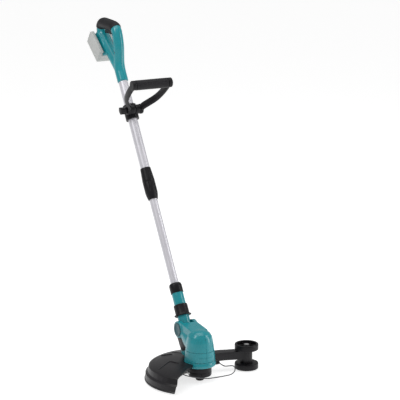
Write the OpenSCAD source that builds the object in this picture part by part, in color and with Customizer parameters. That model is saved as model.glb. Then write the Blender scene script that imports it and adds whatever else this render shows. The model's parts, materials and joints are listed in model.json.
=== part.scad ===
// Cordless string trimmer: telescopic shaft, loop handle, tilting motor head, guard,
// flower-guard wire and edging wheels. Millimetres, +X user's right, +Y forward, +Z up.
// The origin is on the spool's axis, at the bottom of the bump knob.

/* [Shaft] */
// Lean of the shaft back from vertical, in degrees
lean = 32; // [30:1:34]
// Distance of the tilt pivot behind the spool's axis
pivot_back = 85; // [84:1:88]
// Height of the tilt pivot
pivot_height = 132; // [130:1:134]
// Outer diameter of the upper tube
upper_tube_d = 28; // [28:0.1:28.4]
// Outer diameter of the lower tube
lower_tube_d = 24; // [23.8:0.1:24]
// Wall of both tubes
tube_wall = 1.2; // [1:0.1:1.2]

/* [Stations along the shaft] */
// Bottom of the release ring
ring_s = 38; // [38:1:40]
// Face where the neck meets the swivel sleeve
swivel_s = 58; // [56:1:58]
// Top of the swivel sleeve
sleeve_top_s = 108; // [106:1:112]
// Bottom of the twist nut
nut_s = 401; // [395:1:430]
// Middle of the front handle's clamp
clamp_s = 680; // [650:1:700]
// Bottom of the rear handle
handle_s = 780; // [770:1:790]

/* [Rear handle] */
// Radius of the handle's tube
handle_r = 16; // [15:0.5:16.5]
// Wall of the handle's shells
shell_wall = 2.6; // [2:0.1:3]

/* [Front handle] */
// Reach of the front grip from its bolt
grip_reach = 152; // [148:1:156]
// Angle of the front handle above the shaft's square
grip_rise = 7; // [5:1:15]
// Radius of the front grip
front_grip_r = 14.75; // [14.5:0.05:15]

/* [Motor head] */
// Radius of the tilt discs
disc_r = 24.5; // [24:0.1:25]
// Half width of the body between the motor and the tilt discs
fairing_half = 26; // [25.5:0.1:26.5]
// Radius of the spool head
spool_r = 34; // [33.5:0.1:34.5]

/* [Guard and wheels] */
// Radius swept by the tip of the line
cut_r = 148; // [144:1:148]
// Last angle of the guard, forward of the right side
guard_front = 37; // [35:1:40]
// First angle of the guard, past the rear
guard_rear = -118; // [-122:1:-110]
// Wheel axle, sideways from the spool's axis
wheel_x = -168; // [-170:1:-166]
// Wheel axle, forward of the spool's axis
wheel_y = -26; // [-30:1:-22]
// Radius of the wheels
wheel_r = 35; // [33:0.5:35]

/* [Hidden] */
$fn = 64;

TEAL = [0.08, 0.52, 0.56];
DARK_TEAL = [0.05, 0.35, 0.38];
BLACK = [0.12, 0.12, 0.13];
RUBBER = [0.18, 0.18, 0.2];
ALLOY = [0.84, 0.84, 0.87];
STEEL = [0.6, 0.6, 0.62];
PALE = [0.8, 0.8, 0.79];
COPPER = [0.75, 0.45, 0.25];

upper_r = upper_tube_d / 2;
lower_r = lower_tube_d / 2;
fit = 0.05;                // radial clearance of a running fit
gap = 0.3;                 // clearance between moving bodies
big = 400;                 // larger than any cut needs

// Centre line of the rear loop: [forward of the shaft, up from the handle's bottom]
LOOP = [
    [0, 32], [6, 58], [18, 80], [30, 100], [38, 122], [42, 142], [41, 156], [33, 167],
    [15, 180], [-5, 193], [-24, 205], [-38, 208], [-49, 202], [-54, 190], [-53, 176],
    [-46, 156], [-36, 130], [-24, 100], [-12, 70], [-2, 45], [0, 32]];
GRIP_FIRST = 6;            // the soft grip's first and last points on the loop
GRIP_LAST = 12;
loop_steps = 2;
tube_socket = 58;          // depth of the upper tube in the handle

// Battery rail frame, on the rear limb's centre line
rail_at = [-36, 130];
rail_lean = 21;
battery_half = 35;
battery_z = [-14, 72];
rear_face_y = -46;
front_face_y = -19.8;
foot_half = 21;

// Grip frame, level with the ground at the middle of the rear grip
grip_at = [5, 186.5];
trigger_pivot = [28, -8];
pin_r = 2;

// Front handle
bolt_y = 26;
bolt_r = 3;
ear_inner = 17.1;
ear_outer = 25.5;
ARM = [[21.3, 6], [24, 20], [35, 38], [46.5, 58], [53.5, 80], [57.5, 108], [58.4, 132],
       [58.4, grip_reach]];

// Motor head
pivot_pin_r = 4;
knuckle_half = 17.1;
ear_in = 17.4;
ear_out = 29;
button_r = 20;
slot_front_y = -66.5;
slot_floor_z = pivot_height - 17.6;
DOME = [[0, 151], [10, 150.5], [20, 148], [29, 142], [35, 133], [38, 120], [40, 106],
        [42, 90], [43.5, 75], [44.5, 60], [46.5, 55], [46.5, 49], [44, 46], [0, 46]];
DOME_IN = [[0, 148], [19, 145.5], [27.5, 140], [32.5, 131.5], [35.5, 119], [37.5, 105],
           [39.5, 89], [41, 75], [42, 60], [43.5, 54], [43.5, 50], [0, 50]];
FAIRING = [[0, 149], [-30, 152], [-85, 156.5], [-109.4, 130], [-103, 113], [-78, 84],
           [-66, 62], [0, 62]];
FAIRING_IN = [[0, 146], [-28, 149], [-63, 150], [-63, 111.5], [-97, 111.5], [-75, 84],
              [-63, 65], [0, 65]];
PANEL = [[-89, 107], [-62, 110], [-40, 105], [-38, 82], [-62, 74], [-75, 86]];
head_r = 46.7;             // bore of the collars round the motor housing
shaft_r = 2.5;
line_z = 26;

GUARD = [[156.5, 6], [160, 6], [160, 9], [158, 11], [157, 26], [150.5, 31], [147.5, 46],
         [140, 50], [90, 57], [51, 60], [head_r, 60], [head_r, 51], [49.5, 51], [50.5, 56.8],
         [90, 54.5], [138.5, 47.5], [145, 44], [148, 30], [154.5, 24.5], [155.5, 11]];

// Half of the flower-guard wire, from its boss to the middle of its front
WIRE = [[57.5, -12], [57.5, 0], [57.5, 20], [57.5, 38], [61, 44], [72, 46.5], [79.5, 49],
        [81, 54], [77, 70], [61, 97], [39, 116], [18, 119.5], [0, 120]];
wire_z = 45;
wire_r = 1.5;

hub_r = 17.5;
axle_r = 4;
low_wheel_z = [3, 20.7];
top_wheel_z = [60.3, 78];
arm_z = [34, 58];

// ---- vectors and sweeps ----
function unit(v) = v / norm(v);
function tangent(p, i) = unit(p[min(i + 1, len(p) - 1)] - p[max(i - 1, 0)]);
function side_of(t, ref) = unit(ref - (ref * t) * t);
function ring_at(c, t, ref, ra, rb, n) =
    let (b = side_of(t, ref), a = cross(b, t))
    [for (k = [0 : n - 1]) c + ra * cos(360 * k / n) * a + rb * sin(360 * k / n) * b];
function blend(p, i, f) =
    let (n = len(p), a = p[max(i - 1, 0)], b = p[i], c = p[min(i + 1, n - 1)],
         d = p[min(i + 2, n - 1)])
    0.5 * (2 * b + (c - a) * f + (2 * a - 5 * b + 4 * c - d) * f * f
           + (3 * b - a - 3 * c + d) * f * f * f);
function smooth(p, steps) =
    concat([for (i = [0 : len(p) - 2], k = [0 : steps - 1]) blend(p, i, k / steps)],
           [p[len(p) - 1]]);
function slice(p, a, b) = [for (i = [a : b]) p[i]];

// A rod along path with half widths ra in the path's plane and rb along ref
module sweep(path, ref, ra, rb, n = 16) {
    m = len(path);
    points = [for (i = [0 : m - 1]) each ring_at(path[i], tangent(path, i), ref, ra, rb, n)];
    first = [for (k = [0 : n - 1]) k];
    last = [for (k = [n - 1 : -1 : 0]) (m - 1) * n + k];
    walls = [for (i = [0 : m - 2], k = [0 : n - 1], half = [0, 1])
        let (q = i * n + k, r = i * n + (k + 1) % n)
        half == 0 ? [q, q + n, r + n] : [q, r + n, r]];
    polyhedron(points = points, faces = concat([first, last], walls), convexity = 8);
}

// A rod like sweep's, made of convex links, for a path that bends tighter than the rod
module chain(path, ref, r, n = 16) {
    caps = [[for (k = [0 : n - 1]) k], [for (k = [n - 1 : -1 : 0]) n + k]];
    walls = [for (k = [0 : n - 1]) [k, k + n, (k + 1) % n + n, (k + 1) % n]];
    for (i = [0 : len(path) - 2]) hull()
        polyhedron(points = concat(ring_at(path[i], tangent(path, i), ref, r, r, n),
                                   ring_at(path[i + 1], tangent(path, i + 1), ref, r, r, n)),
                   faces = concat(caps, walls));
}

module coil(r, wire, h, turns) {
    per_turn = 12;
    path = [for (i = [0 : turns * per_turn])
        [r * cos(360 * i / per_turn), r * sin(360 * i / per_turn), h * i / (turns * per_turn)]];
    sweep(path, [0, 0, 1], wire, wire, 8);
}

module ring(outer, inner, h) {
    difference() {
        cylinder(r = outer, h = h);
        translate([0, 0, -1]) cylinder(r = inner, h = h + 2);
    }
}

module x_rod(r, x0, x1) {
    translate([x0, 0, 0]) rotate([0, 90, 0]) cylinder(r = r, h = x1 - x0);
}

module x_plate(points, x0, x1) {
    translate([x0, 0, 0]) rotate([90, 0, 90]) linear_extrude(x1 - x0) polygon(points);
}

module rounded(w, h, r) {
    square([w - 2 * r, h], center = true);
    square([w, h - 2 * r], center = true);
    for (x = [-1, 1], y = [-1, 1])
        translate([x * (w / 2 - r), y * (h / 2 - r)]) circle(r);
}

module on_shaft(s = 0) {
    translate([0, -pivot_back, pivot_height]) rotate([lean, 0, 0])
        translate([0, 0, s]) children();
}

module on_rail() {
    on_shaft(handle_s) translate([0, rail_at[0], rail_at[1]]) rotate([rail_lean, 0, 0])
        children();
}

module on_grip() {
    on_shaft(handle_s) translate([0, grip_at[0], grip_at[1]]) rotate([-lean, 0, 0])
        children();
}

module at_pivot() { translate([0, -pivot_back, pivot_height]) children(); }

module on_loop() {
    on_shaft(clamp_s) translate([0, bolt_y, 0]) rotate([grip_rise, 0, 0]) children();
}

module at_wheels() { translate([wheel_x, wheel_y, 0]) children(); }

// Evaluates free-form children as one closed mesh, at their own size
module as_mesh() { resize([0, 0, 0]) children(); }

// The half of its children on one side of the seam
module half(side) {
    intersection() {
        children();
        translate([side > 0 ? 0 : -big, -1.5 * big, -big]) cube([big, 3 * big, 4 * big]);
    }
}

// ---- rear handle ----
function loop_path(a, b) = smooth([for (p = slice(LOOP, a, b)) [0, p[0], p[1]]], loop_steps);
SCREWS = [[22, 87], [41, 140], [-51, 170], [-25, 103]];

module handle_solid(r) {
    chain(loop_path(0, len(LOOP) - 1), [1, 0, 0], r);
    translate([0, 0, 22]) cylinder(r = r, h = 24);
}

module trigger_slot() {
    translate([-7.5, -20, -40]) cube([15, 56, 37]);
}

module button_hole(r) {
    translate([0, 18, 3]) x_rod(r, -30, -8);
}

module handle_shell(side) {
    as_mesh() half(side) difference() {
        union() {
            on_shaft(handle_s) handle_solid(handle_r);
            on_shaft(handle_s) cylinder(r = handle_r + 0.6, h = 40);
            on_rail() translate([-foot_half, -19.3, -16]) cube([2 * foot_half, 11, 86]);
            on_rail() for (x = [-foot_half - 2.5, foot_half - 0.5])
                translate([x, -14, -12]) cube([3, 3, 72]);
        }
        difference() {
            on_shaft(handle_s) chain(loop_path(0, len(LOOP) - 1), [1, 0, 0],
                handle_r - shell_wall);
            on_shaft(handle_s) for (p = SCREWS)
                translate([0, p[0], p[1]]) x_rod(4, -20, 20);
        }
        on_shaft(handle_s) translate([0, 0, -1]) cylinder(r = upper_r + fit, h = tube_socket + 2);
        on_rail() translate([-12.2, -17.2, -0.2]) cube([24.4, 8.4, 40.4]);
        on_grip() trigger_slot();
        on_grip() button_hole(6.3);
        on_grip() translate([0, trigger_pivot[0], trigger_pivot[1]]) x_rod(pin_r, -12.5, 12.5);
        on_shaft(handle_s) for (p = SCREWS) translate([0, p[0], p[1]]) {
            x_rod(1.65, -9.2, 20);
            x_rod(3.3, 11.5, 20);
        }
    }
}
module handle_shell_right() { color(TEAL) handle_shell(1); }
module handle_shell_left() { color(TEAL) handle_shell(-1); }

module soft_grip() {
    color(RUBBER) as_mesh() difference() {
        on_shaft(handle_s) chain(loop_path(GRIP_FIRST, GRIP_LAST), [1, 0, 0], handle_r + 1.8);
        on_shaft(handle_s) chain(loop_path(GRIP_FIRST - 1, GRIP_LAST + 1), [1, 0, 0],
            handle_r + 0.15);
        on_grip() trigger_slot();
        on_grip() button_hole(6.3);
    }
}

TRIGGER = [[32, -12], [30, -4.5], [24, -4.5], [20, -9], [-14, -9], [-17, -13], [-17, -24],
           [-14, -26.5], [2, -25], [14, -24.5], [24, -26], [30, -22], [33, -16]];
module trigger() {
    color(BLACK) on_grip() difference() {
        x_plate(TRIGGER, -6.5, 6.5);
        translate([0, trigger_pivot[0], trigger_pivot[1]]) x_rod(pin_r + fit, -10, 10);
    }
}
module trigger_pin() {
    color(STEEL) on_grip() translate([0, trigger_pivot[0], trigger_pivot[1]])
        x_rod(pin_r, -12.4, 12.4);
}
module lock_off_button() {
    color(BLACK) on_grip() translate([0, 18, 3]) {
        x_rod(6, -20, -10);
        x_rod(4.5, -21, -19.9);
    }
}
module switch_unit() {
    color(BLACK) on_grip() {
        translate([-6.5, -22, 0]) cube([13, 28, 8.5]);
        translate([-2.5, -12, -1.5]) cube([5, 6, 1.6]);
    }
}
module terminal_block() {
    color(BLACK) on_rail() {
        translate([-12, -17, 0]) cube([24, 8, 40]);
        for (x = [-8, -0.4, 7.2]) translate([x, -19, 4]) cube([0.8, 2.1, 30]);
    }
}
module handle_screws() {
    color(STEEL) on_shaft(handle_s) for (p = SCREWS) translate([0, p[0], p[1]]) {
        x_rod(1.6, -9, 12);
        x_rod(3.2, 11.6, 14);
    }
}

// ---- battery ----
module battery_block() {
    depth = front_face_y - rear_face_y;
    length = battery_z[1] - battery_z[0];
    translate([0, (front_face_y + rear_face_y) / 2, battery_z[0]])
        linear_extrude(length) rounded(2 * battery_half, depth, 5);
    for (side = [-1, 1])
        translate([side * 28.3, -12, battery_z[0]])
            linear_extrude(length) rounded(13.4, 24, 3);
}
module battery_hollow() {
    translate([-33, -43.5, -11.5]) cube([66, 21, 81]);
    for (x = [-24.2, 20.5]) translate([x, -14.6, -15]) cube([3.7, 4.2, 76]);
    translate([-13.2, -40.2, 60]) cube([26.4, 10.4, 20]);
}
split_y = -32;
module battery_half_space(side) {
    translate([-50, side > 0 ? split_y : split_y - 50, -50]) cube([100, 50, 150]);
}
module battery_case() {
    color(PALE) on_rail() intersection() {
        difference() { battery_block(); battery_hollow(); }
        battery_half_space(-1);
    }
}
module battery_lid() {
    color(PALE) on_rail() intersection() {
        difference() { battery_block(); battery_hollow(); }
        battery_half_space(1);
    }
}
module battery_cells() {
    color(COPPER) on_rail() for (k = [0 : 3])
        translate([0, -33, -2.2 + 18.5 * k]) x_rod(9.1, -32.5, 32.5);
}
module battery_button() {
    color(BLACK) on_rail() translate([0, -35.2, 66])
        linear_extrude(9) rounded(25.8, 9.8, 3);
}

// ---- shaft ----
module upper_tube() {
    color(ALLOY) on_shaft(nut_s + 27)
        ring(upper_r, upper_r - tube_wall, handle_s + tube_socket - nut_s - 27);
}
module collar_sleeve() {
    color(BLACK) on_shaft(nut_s) rotate_extrude() polygon([
        [upper_r + fit, 30], [16, 30], [16, 54.2], [18.5, 54.2], [18.5, 60], [17.6, 72],
        [16.2, 90], [15.6, 99], [upper_r + fit, 99]]);
}
module twist_nut() {
    color(BLACK) on_shaft(nut_s) difference() {
        rotate_extrude() polygon([
            [lower_r + 0.5, 0], [14.2, 0], [15.2, 3], [17.2, 12], [18.5, 22], [18.5, 53.9],
            [16.3, 53.9], [16.3, 28.5], [14.9, 28.5], [14.9, 13], [lower_r + 0.5, 13]]);
        for (k = [0 : 11]) rotate([0, 0, 30 * k])
            translate([19.3, 0, 24]) cylinder(r = 1.5, h = 26);
    }
}
module collet() {
    color(PALE) on_shaft(nut_s + 13.3) difference() {
        ring(14.6, lower_r + 0.08, 13);
        translate([-1, 0, -1]) cube([2, 20, 20]);
    }
}
lower_tube_s = [86, 560];
module lower_tube() {
    color(ALLOY) on_shaft(lower_tube_s[0])
        ring(lower_r, lower_r - tube_wall, lower_tube_s[1] - lower_tube_s[0]);
}
module guide_bush() {
    color(BLACK) on_shaft(lower_tube_s[1]) {
        ring(upper_r - tube_wall - 0.08, 8, 20);
        translate([0, 0, -15]) ring(lower_r - tube_wall - fit, 8, 15.5);
    }
}
module inner_lead() {
    color(BLACK) on_shaft(300) ring(6, 3, 460);
}

// ---- front handle ----
module clamp_saddle() {
    color(BLACK) on_shaft(clamp_s) difference() {
        union() {
            translate([0, 0, -23]) cylinder(r = 20, h = 46);
            translate([-13, 0, -13]) cube([26, bolt_y, 26]);
            translate([0, bolt_y, 0]) x_rod(14, -13, 13);
        }
        translate([0, 0, -big]) cylinder(r = upper_r + 0.08, h = 2 * big);
        translate([-1, 0, -big]) cube([2, big, 2 * big]);
        translate([0, bolt_y, 0]) x_rod(bolt_r + 0.1, -20, 20);
        for (side = [0, 1]) mirror([side, 0, 0]) translate([0, bolt_y, 0])
            x_rod(14.5, 13, 22);
    }
}
module toothed_washers() {
    color(BLACK) on_shaft(clamp_s) translate([0, bolt_y, 0]) for (side = [0, 1])
        mirror([side, 0, 0]) difference() {
            x_rod(14, 13.1, 16.8);
            x_rod(bolt_r + 0.1, 12, 20);
        }
}
module clamp_bolt() {
    color(STEEL) on_shaft(clamp_s) translate([0, bolt_y, 0]) {
        x_rod(bolt_r, -27, 40);
        x_rod(7, -30, -25.9);
    }
}
module clamp_knob() {
    color(BLACK) on_shaft(clamp_s) translate([0, bolt_y, 0]) difference() {
        union() {
            x_rod(9, 25.9, 46);
            for (k = [0 : 2]) rotate([120 * k, 0, 0])
                translate([0, 7.8, 0]) x_rod(4.4, 29, 45.2);
        }
        x_rod(bolt_r + fit, 20, 40.5);
    }
}
function arm_path(side) = smooth([for (p = ARM) [side * p[0], p[1], 0]], 3);
module front_loop() {
    color(BLACK) on_loop() as_mesh() difference() {
        union() {
            for (side = [-1, 1]) sweep(arm_path(side), [0, 0, 1], 6, 11.5, 14);
            for (side = [0, 1]) mirror([side, 0, 0]) {
                x_rod(15, ear_inner, ear_outer);
                translate([0, grip_reach, 0]) x_rod(front_grip_r - 0.2, 52.2, 64.5);
            }
            translate([0, grip_reach, 0]) x_rod(9, -57, 57);
        }
        x_rod(bolt_r + 0.35, -30, 30);
        x_rod(14.5, 0.05 - ear_inner, ear_inner - 0.05);
        for (side = [0, 1]) mirror([side, 0, 0]) x_rod(13, ear_outer + 0.05, 60);
    }
}
module front_grip() {
    color(RUBBER) on_loop() translate([0, grip_reach, 0]) difference() {
        x_rod(front_grip_r, -52, 52);
        x_rod(9.2, -60, 60);
    }
}

// ---- swivel and tilt ----
module top_ring() {
    color(BLACK) on_shaft(sleeve_top_s) rotate_extrude() polygon([
        [lower_r + fit, 0], [19, 0], [19, 22], [18, 26.5], [16, 29.2], [14.5, 30],
        [lower_r + fit, 30]]);
}
sleeve_r = 17.25;
spigot_r = 13;
module swivel_sleeve() {
    h = sleeve_top_s - swivel_s;
    color(TEAL) on_shaft(swivel_s) difference() {
        cylinder(r = sleeve_r, h = h);
        translate([0, 0, -1]) cylinder(r = spigot_r + 0.08, h = 29);
        translate([0, 0, 20]) cylinder(r = lower_r + fit, h = h);
    }
}
module release_ring() {
    color(BLACK) on_shaft(ring_s) difference() {
        union() {
            rotate_extrude() polygon([
                [sleeve_r + gap, 0], [22.5, 0], [22.5, 2.5], [20.5, 7], [20.5, 32.5],
                [19.5, 34], [sleeve_r + gap, 34]]);
            for (side = [0, 1]) mirror([side, 0, 0])
                translate([19, -7, 0]) cube([5.5, 14, 5]);
        }
        translate([0, 0, -1]) cylinder(r = sleeve_r + gap, h = 40);
    }
}
module neck() {
    color(TEAL) on_shaft() difference() {
        union() {
            cylinder(r = sleeve_r, h = swivel_s - 0.3);
            cylinder(r = spigot_r, h = swivel_s + 27);
            x_rod(17, -knuckle_half, knuckle_half);
        }
        translate([0, 0, 20]) cylinder(r = 8, h = 100);
        x_rod(pivot_pin_r + fit, -20, 20);
        for (side = [0, 1]) mirror([side, 0, 0])
            translate([knuckle_half, -30, -30]) cube([5, 60, 54]);
    }
}
module pivot_pin() {
    color(STEEL) at_pivot() x_rod(pivot_pin_r, -26, 20.4);
}
module tilt_button() {
    color(DARK_TEAL) at_pivot() difference() {
        union() {
            x_rod(button_r, 24.4, 30.5);
            x_rod(5, 22.6, 25);
        }
        x_rod(14, 29.7, 32);
    }
}
module tilt_spring() {
    color(STEEL) at_pivot() translate([20.9, 0, 0]) rotate([0, 90, 0]) coil(12, 0.4, 3, 2);
}
module pivot_cap() {
    color(DARK_TEAL) at_pivot() difference() {
        x_rod(button_r, -30.5, -26.1);
        x_rod(14, -32, -29.7);
    }
}

// ---- motor head ----
SCREW_ANGLES = [-95, -40, 15];
module head_outer() {
    rotate_extrude() polygon(DOME);
    x_plate(FAIRING, -fairing_half, fairing_half);
    at_pivot() x_rod(disc_r, -ear_out, ear_out);
}
module motor_hollow() {
    difference() {
        union() {
            rotate_extrude() polygon(DOME_IN);
            x_plate(FAIRING_IN, -fairing_half + 2.5, fairing_half - 2.5);
        }
        for (z = [59.5, 110]) translate([0, 0, z]) ring(50, 24.1, 3);
    }
}
module motor_housing(side) {
    half(side) difference() {
        head_outer();
        motor_hollow();
        translate([-ear_in, -150, slot_floor_z])
            cube([2 * ear_in, 150 + slot_front_y, 100]);
        at_pivot() x_rod(pivot_pin_r, -40, 20.5);
        at_pivot() x_rod(button_r + gap, 20.5, 60);
        at_pivot() x_rod(button_r + gap, -60, -26);
        translate([0, 0, 40]) cylinder(r = 8.3, h = 15);
        for (z = [62.5, 91.5]) translate([0, 0, z]) ring(60, z > 80 ? 41.2 : 43.9, 1.6);
        for (a = SCREW_ANGLES) rotate([0, 0, a]) translate([0, 0, 54]) x_rod(1.65, 30, 60);
    }
}
module motor_housing_right() { color(TEAL) motor_housing(1); }
module motor_housing_left() { color(TEAL) motor_housing(-1); }

module head_screws() {
    color(STEEL) for (a = SCREW_ANGLES) rotate([0, 0, a]) translate([0, 0, 54])
        x_rod(1.6, 44, 51.6);
}
module side_panel() {
    color(BLACK) x_plate(PANEL, fairing_half + 0.02, fairing_half + 1.2);
}

can_z = [62, 120];
module motor_can() {
    color(STEEL) difference() {
        translate([0, 0, can_z[0]]) cylinder(r = 24, h = can_z[1] - can_z[0]);
        translate([0, 0, can_z[0] - 1]) cylinder(r = 22.8, h = can_z[1] - can_z[0] - 1);
        cylinder(r = 5, h = 200);
    }
}
module motor_magnets() {
    color(RUBBER) for (a = [-60, 120]) rotate([0, 0, a])
        translate([0, 0, 72]) rotate_extrude(angle = 120) translate([19, 0]) square([3.7, 38]);
}
module brush_plate() {
    color(BLACK) translate([0, 0, 57.9]) ring(24, 9.5, 4);
}
module motor_bearings() {
    color(STEEL) {
        translate([0, 0, 120.1]) ring(8, shaft_r + 0.02, 5);
        translate([0, 0, 52.8]) ring(8, shaft_r + 0.02, 5);
    }
}
module armature() {
    color(COPPER) {
        translate([0, 0, 75]) ring(18.3, shaft_r, 32);
        translate([0, 0, 71]) ring(13, shaft_r, 40);
        translate([0, 0, 60]) ring(8, shaft_r, 11.2);
    }
}
module motor_shaft() {
    color(STEEL) translate([0, 0, 31]) cylinder(r = shaft_r, h = 94);
}

// ---- cutting head ----
module drive_cap() {
    color(BLACK) rotate_extrude() polygon([
        [shaft_r, 31], [7, 31], [7, 42.5], [spool_r - 2.2, 42.5], [spool_r - 2, 30],
        [spool_r, 30], [spool_r, 42], [spool_r - 2, 44.5], [7.5, 44.5], [7.5, 45.6],
        [shaft_r, 45.6]]);
}
module spool_cover() {
    color(BLACK) difference() {
        rotate_extrude() polygon([
            [14, 15], [30, 15], [33, 16.5], [spool_r, 19], [spool_r, 29.8],
            [spool_r - 2, 29.8], [spool_r - 2, 17.4], [14, 17.4]]);
        translate([0, 0, line_z]) x_rod(2.65, 20, 40);
        for (k = [0 : 7]) rotate([0, 0, 22.5 + 45 * k])
            translate([spool_r + 1.2, 0, 10]) cylinder(r = 2.4, h = 30);
    }
}
module line_spool() {
    color(PALE) {
        translate([0, 0, 18]) ring(30.5, 9.05, 1.6);
        translate([0, 0, 35.8]) ring(30.5, 9.05, 1.6);
        translate([0, 0, 18]) ring(14, 9.05, 19);
    }
}
module line_winding() {
    color([0.9, 0.9, 0.85]) translate([0, 0, 19.7]) ring(27, 14.05, 16);
}
module eyelet() {
    color(STEEL) translate([0, 0, line_z]) difference() {
        union() {
            x_rod(2.6, spool_r - 2.5, spool_r + 1);
            x_rod(3.4, spool_r + 0.1, spool_r + 1.4);
        }
        x_rod(1.4, 20, 50);
    }
}
module bump_knob() {
    color(BLACK) difference() {
        rotate_extrude() polygon([
            [0, 0], [8.5, 0], [11.2, 1.4], [12.5, 4.5], [12.5, 17.9], [9, 17.9], [9, 22],
            [0, 22]]);
        for (k = [0 : 7]) rotate([0, 0, 45 * k])
            translate([13.4, 0, 3]) cylinder(r = 1.6, h = 9);
    }
}
module bump_spring() {
    color(STEEL) translate([0, 0, 22.6]) coil(5.5, 0.5, 7.8, 4);
}
LINE = [[31, 0, 26], [40, 0, 26], [70, -3, 25.8], [105, -10, 25.4], [cut_r - 2, -21, 25]];
module cutting_line() {
    color([0.92, 0.92, 0.88]) sweep(smooth(LINE, 4), [0, 0, 1], 1, 1, 8);
}

// ---- guard ----
module guard() {
    color(BLACK) difference() {
        union() {
            rotate([0, 0, guard_rear]) rotate_extrude(angle = guard_front - guard_rear)
                polygon(GUARD);
            for (a = [guard_rear + 1.2, guard_front - 1.2]) rotate([0, 0, a])
                rotate([90, 0, 0]) translate([0, 0, -1.2]) linear_extrude(2.4)
                    polygon([[52, 50], [52, 58], [90, 56], [139, 49], [145, 45], [145, 43.8], [138, 47.4]]);
        }
        translate([0, 0, 25.5]) rotate([0, 0, guard_front]) rotate([-12, 0, 0])
            translate([60, 0, -100]) cube([150, 100, 200]);
        for (a = SCREW_ANGLES) rotate([0, 0, a]) translate([0, 0, 54]) x_rod(1.65, 40, 60);
    }
}
module line_cutter() {
    color(STEEL) rotate([0, 0, guard_rear + 8]) translate([150.6, -7, 11.5]) cube([3.6, 14, 12]);
}

// ---- flower guard ----
function wire_path() = let (half_path = [for (p = WIRE) [p[0], p[1], wire_z]])
    concat(half_path, [for (i = [len(WIRE) - 2 : -1 : 0]) [-WIRE[i][0], WIRE[i][1], wire_z]]);
module flower_wire() {
    color(STEEL) sweep(smooth(wire_path(), 2), [0, 0, 1], wire_r, wire_r, 8);
}
module wire_bosses() {
    color(BLACK) difference() {
        for (side = [0, 1]) mirror([side, 0, 0]) {
            translate([38, -14, 40]) cube([19.5, 20, 9.9]);
            translate([57.5, -14, wire_z]) rotate([-90, 0, 0]) cylinder(r = 4.9, h = 20);
        }
        translate([0, 0, 45.9]) cylinder(r = head_r, h = 20);
        translate([0, 0, 30]) cylinder(r = 38.5, h = 40);
        for (x = [-57.5, 57.5]) translate([x, -100, wire_z]) rotate([-90, 0, 0])
            cylinder(r = wire_r + 0.25, h = 200);
    }
}

// ---- edging wheels ----
module wheel_arm() {
    color(BLACK) difference() {
        union() {
            translate([0, 0, arm_z[0]]) linear_extrude(arm_z[1] - arm_z[0]) polygon([
                [-40.9, -74.7], [-100, -63], [wheel_x, wheel_y - 15], [wheel_x, wheel_y + 15],
                [-100, -32], [-50, -38], [-34, -30], [-22.7, -41.2]]);
            at_wheels() translate([0, 0, low_wheel_z[1] + gap])
                cylinder(r = hub_r, h = top_wheel_z[0] - low_wheel_z[1] - 2 * gap);
        }
        translate([0, 0, 10]) cylinder(r = head_r + 0.1, h = 50);
        at_wheels() cylinder(r = axle_r, h = 100);
    }
}
module wheel_axle() {
    color(STEEL) at_wheels() {
        translate([0, 0, low_wheel_z[0] + 2.4])
            cylinder(r = axle_r, h = top_wheel_z[1] - low_wheel_z[0] - 5.4);
        translate([0, 0, low_wheel_z[0] + 2]) cylinder(r = 7, h = 1.6);
        translate([0, 0, top_wheel_z[1] - 3.6]) cylinder(r = 7, h = 1.6);
    }
}
// A wheel from its inner face at z = 0, with its open side up
module wheel() {
    h = low_wheel_z[1] - low_wheel_z[0];
    difference() {
        rotate_extrude() polygon([
            [axle_r + 0.06, 0], [33, 0], [wheel_r, 2.5], [wheel_r, h - 2.5], [33, h],
            [28, h], [27, 4], [10, 4], [9, h - 4], [axle_r + 0.06, h - 4]]);
        for (k = [0 : 5]) rotate([0, 0, 60 * k])
            translate([18.5, 0, -1]) cylinder(r = 4.5, h = 10);
    }
}
module upper_wheel() { color(BLACK) at_wheels() translate([0, 0, top_wheel_z[0]]) wheel(); }
module lower_wheel() {
    color(BLACK) at_wheels() translate([0, 0, low_wheel_z[1]]) mirror([0, 0, 1]) wheel();
}

handle_shell_right();
handle_shell_left();
soft_grip();
trigger();
trigger_pin();
lock_off_button();
switch_unit();
terminal_block();
handle_screws();
battery_case();
battery_lid();
battery_cells();
battery_button();
upper_tube();
collar_sleeve();
twist_nut();
collet();
lower_tube();
guide_bush();
inner_lead();
clamp_saddle();
toothed_washers();
clamp_bolt();
clamp_knob();
front_loop();
front_grip();
top_ring();
swivel_sleeve();
release_ring();
neck();
pivot_pin();
tilt_button();
tilt_spring();
pivot_cap();
motor_housing_right();
motor_housing_left();
head_screws();
side_panel();
motor_can();
motor_magnets();
brush_plate();
motor_bearings();
armature();
motor_shaft();
drive_cap();
spool_cover();
line_spool();
line_winding();
eyelet();
bump_knob();
bump_spring();
cutting_line();
guard();
line_cutter();
flower_wire();
wire_bosses();
wheel_arm();
wheel_axle();
upper_wheel();
lower_wheel();
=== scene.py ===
import json
import math

import bmesh
import bpy
from bpy.props import FloatProperty, FloatVectorProperty, IntProperty, PointerProperty
from mathutils import Matrix, Vector


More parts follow.
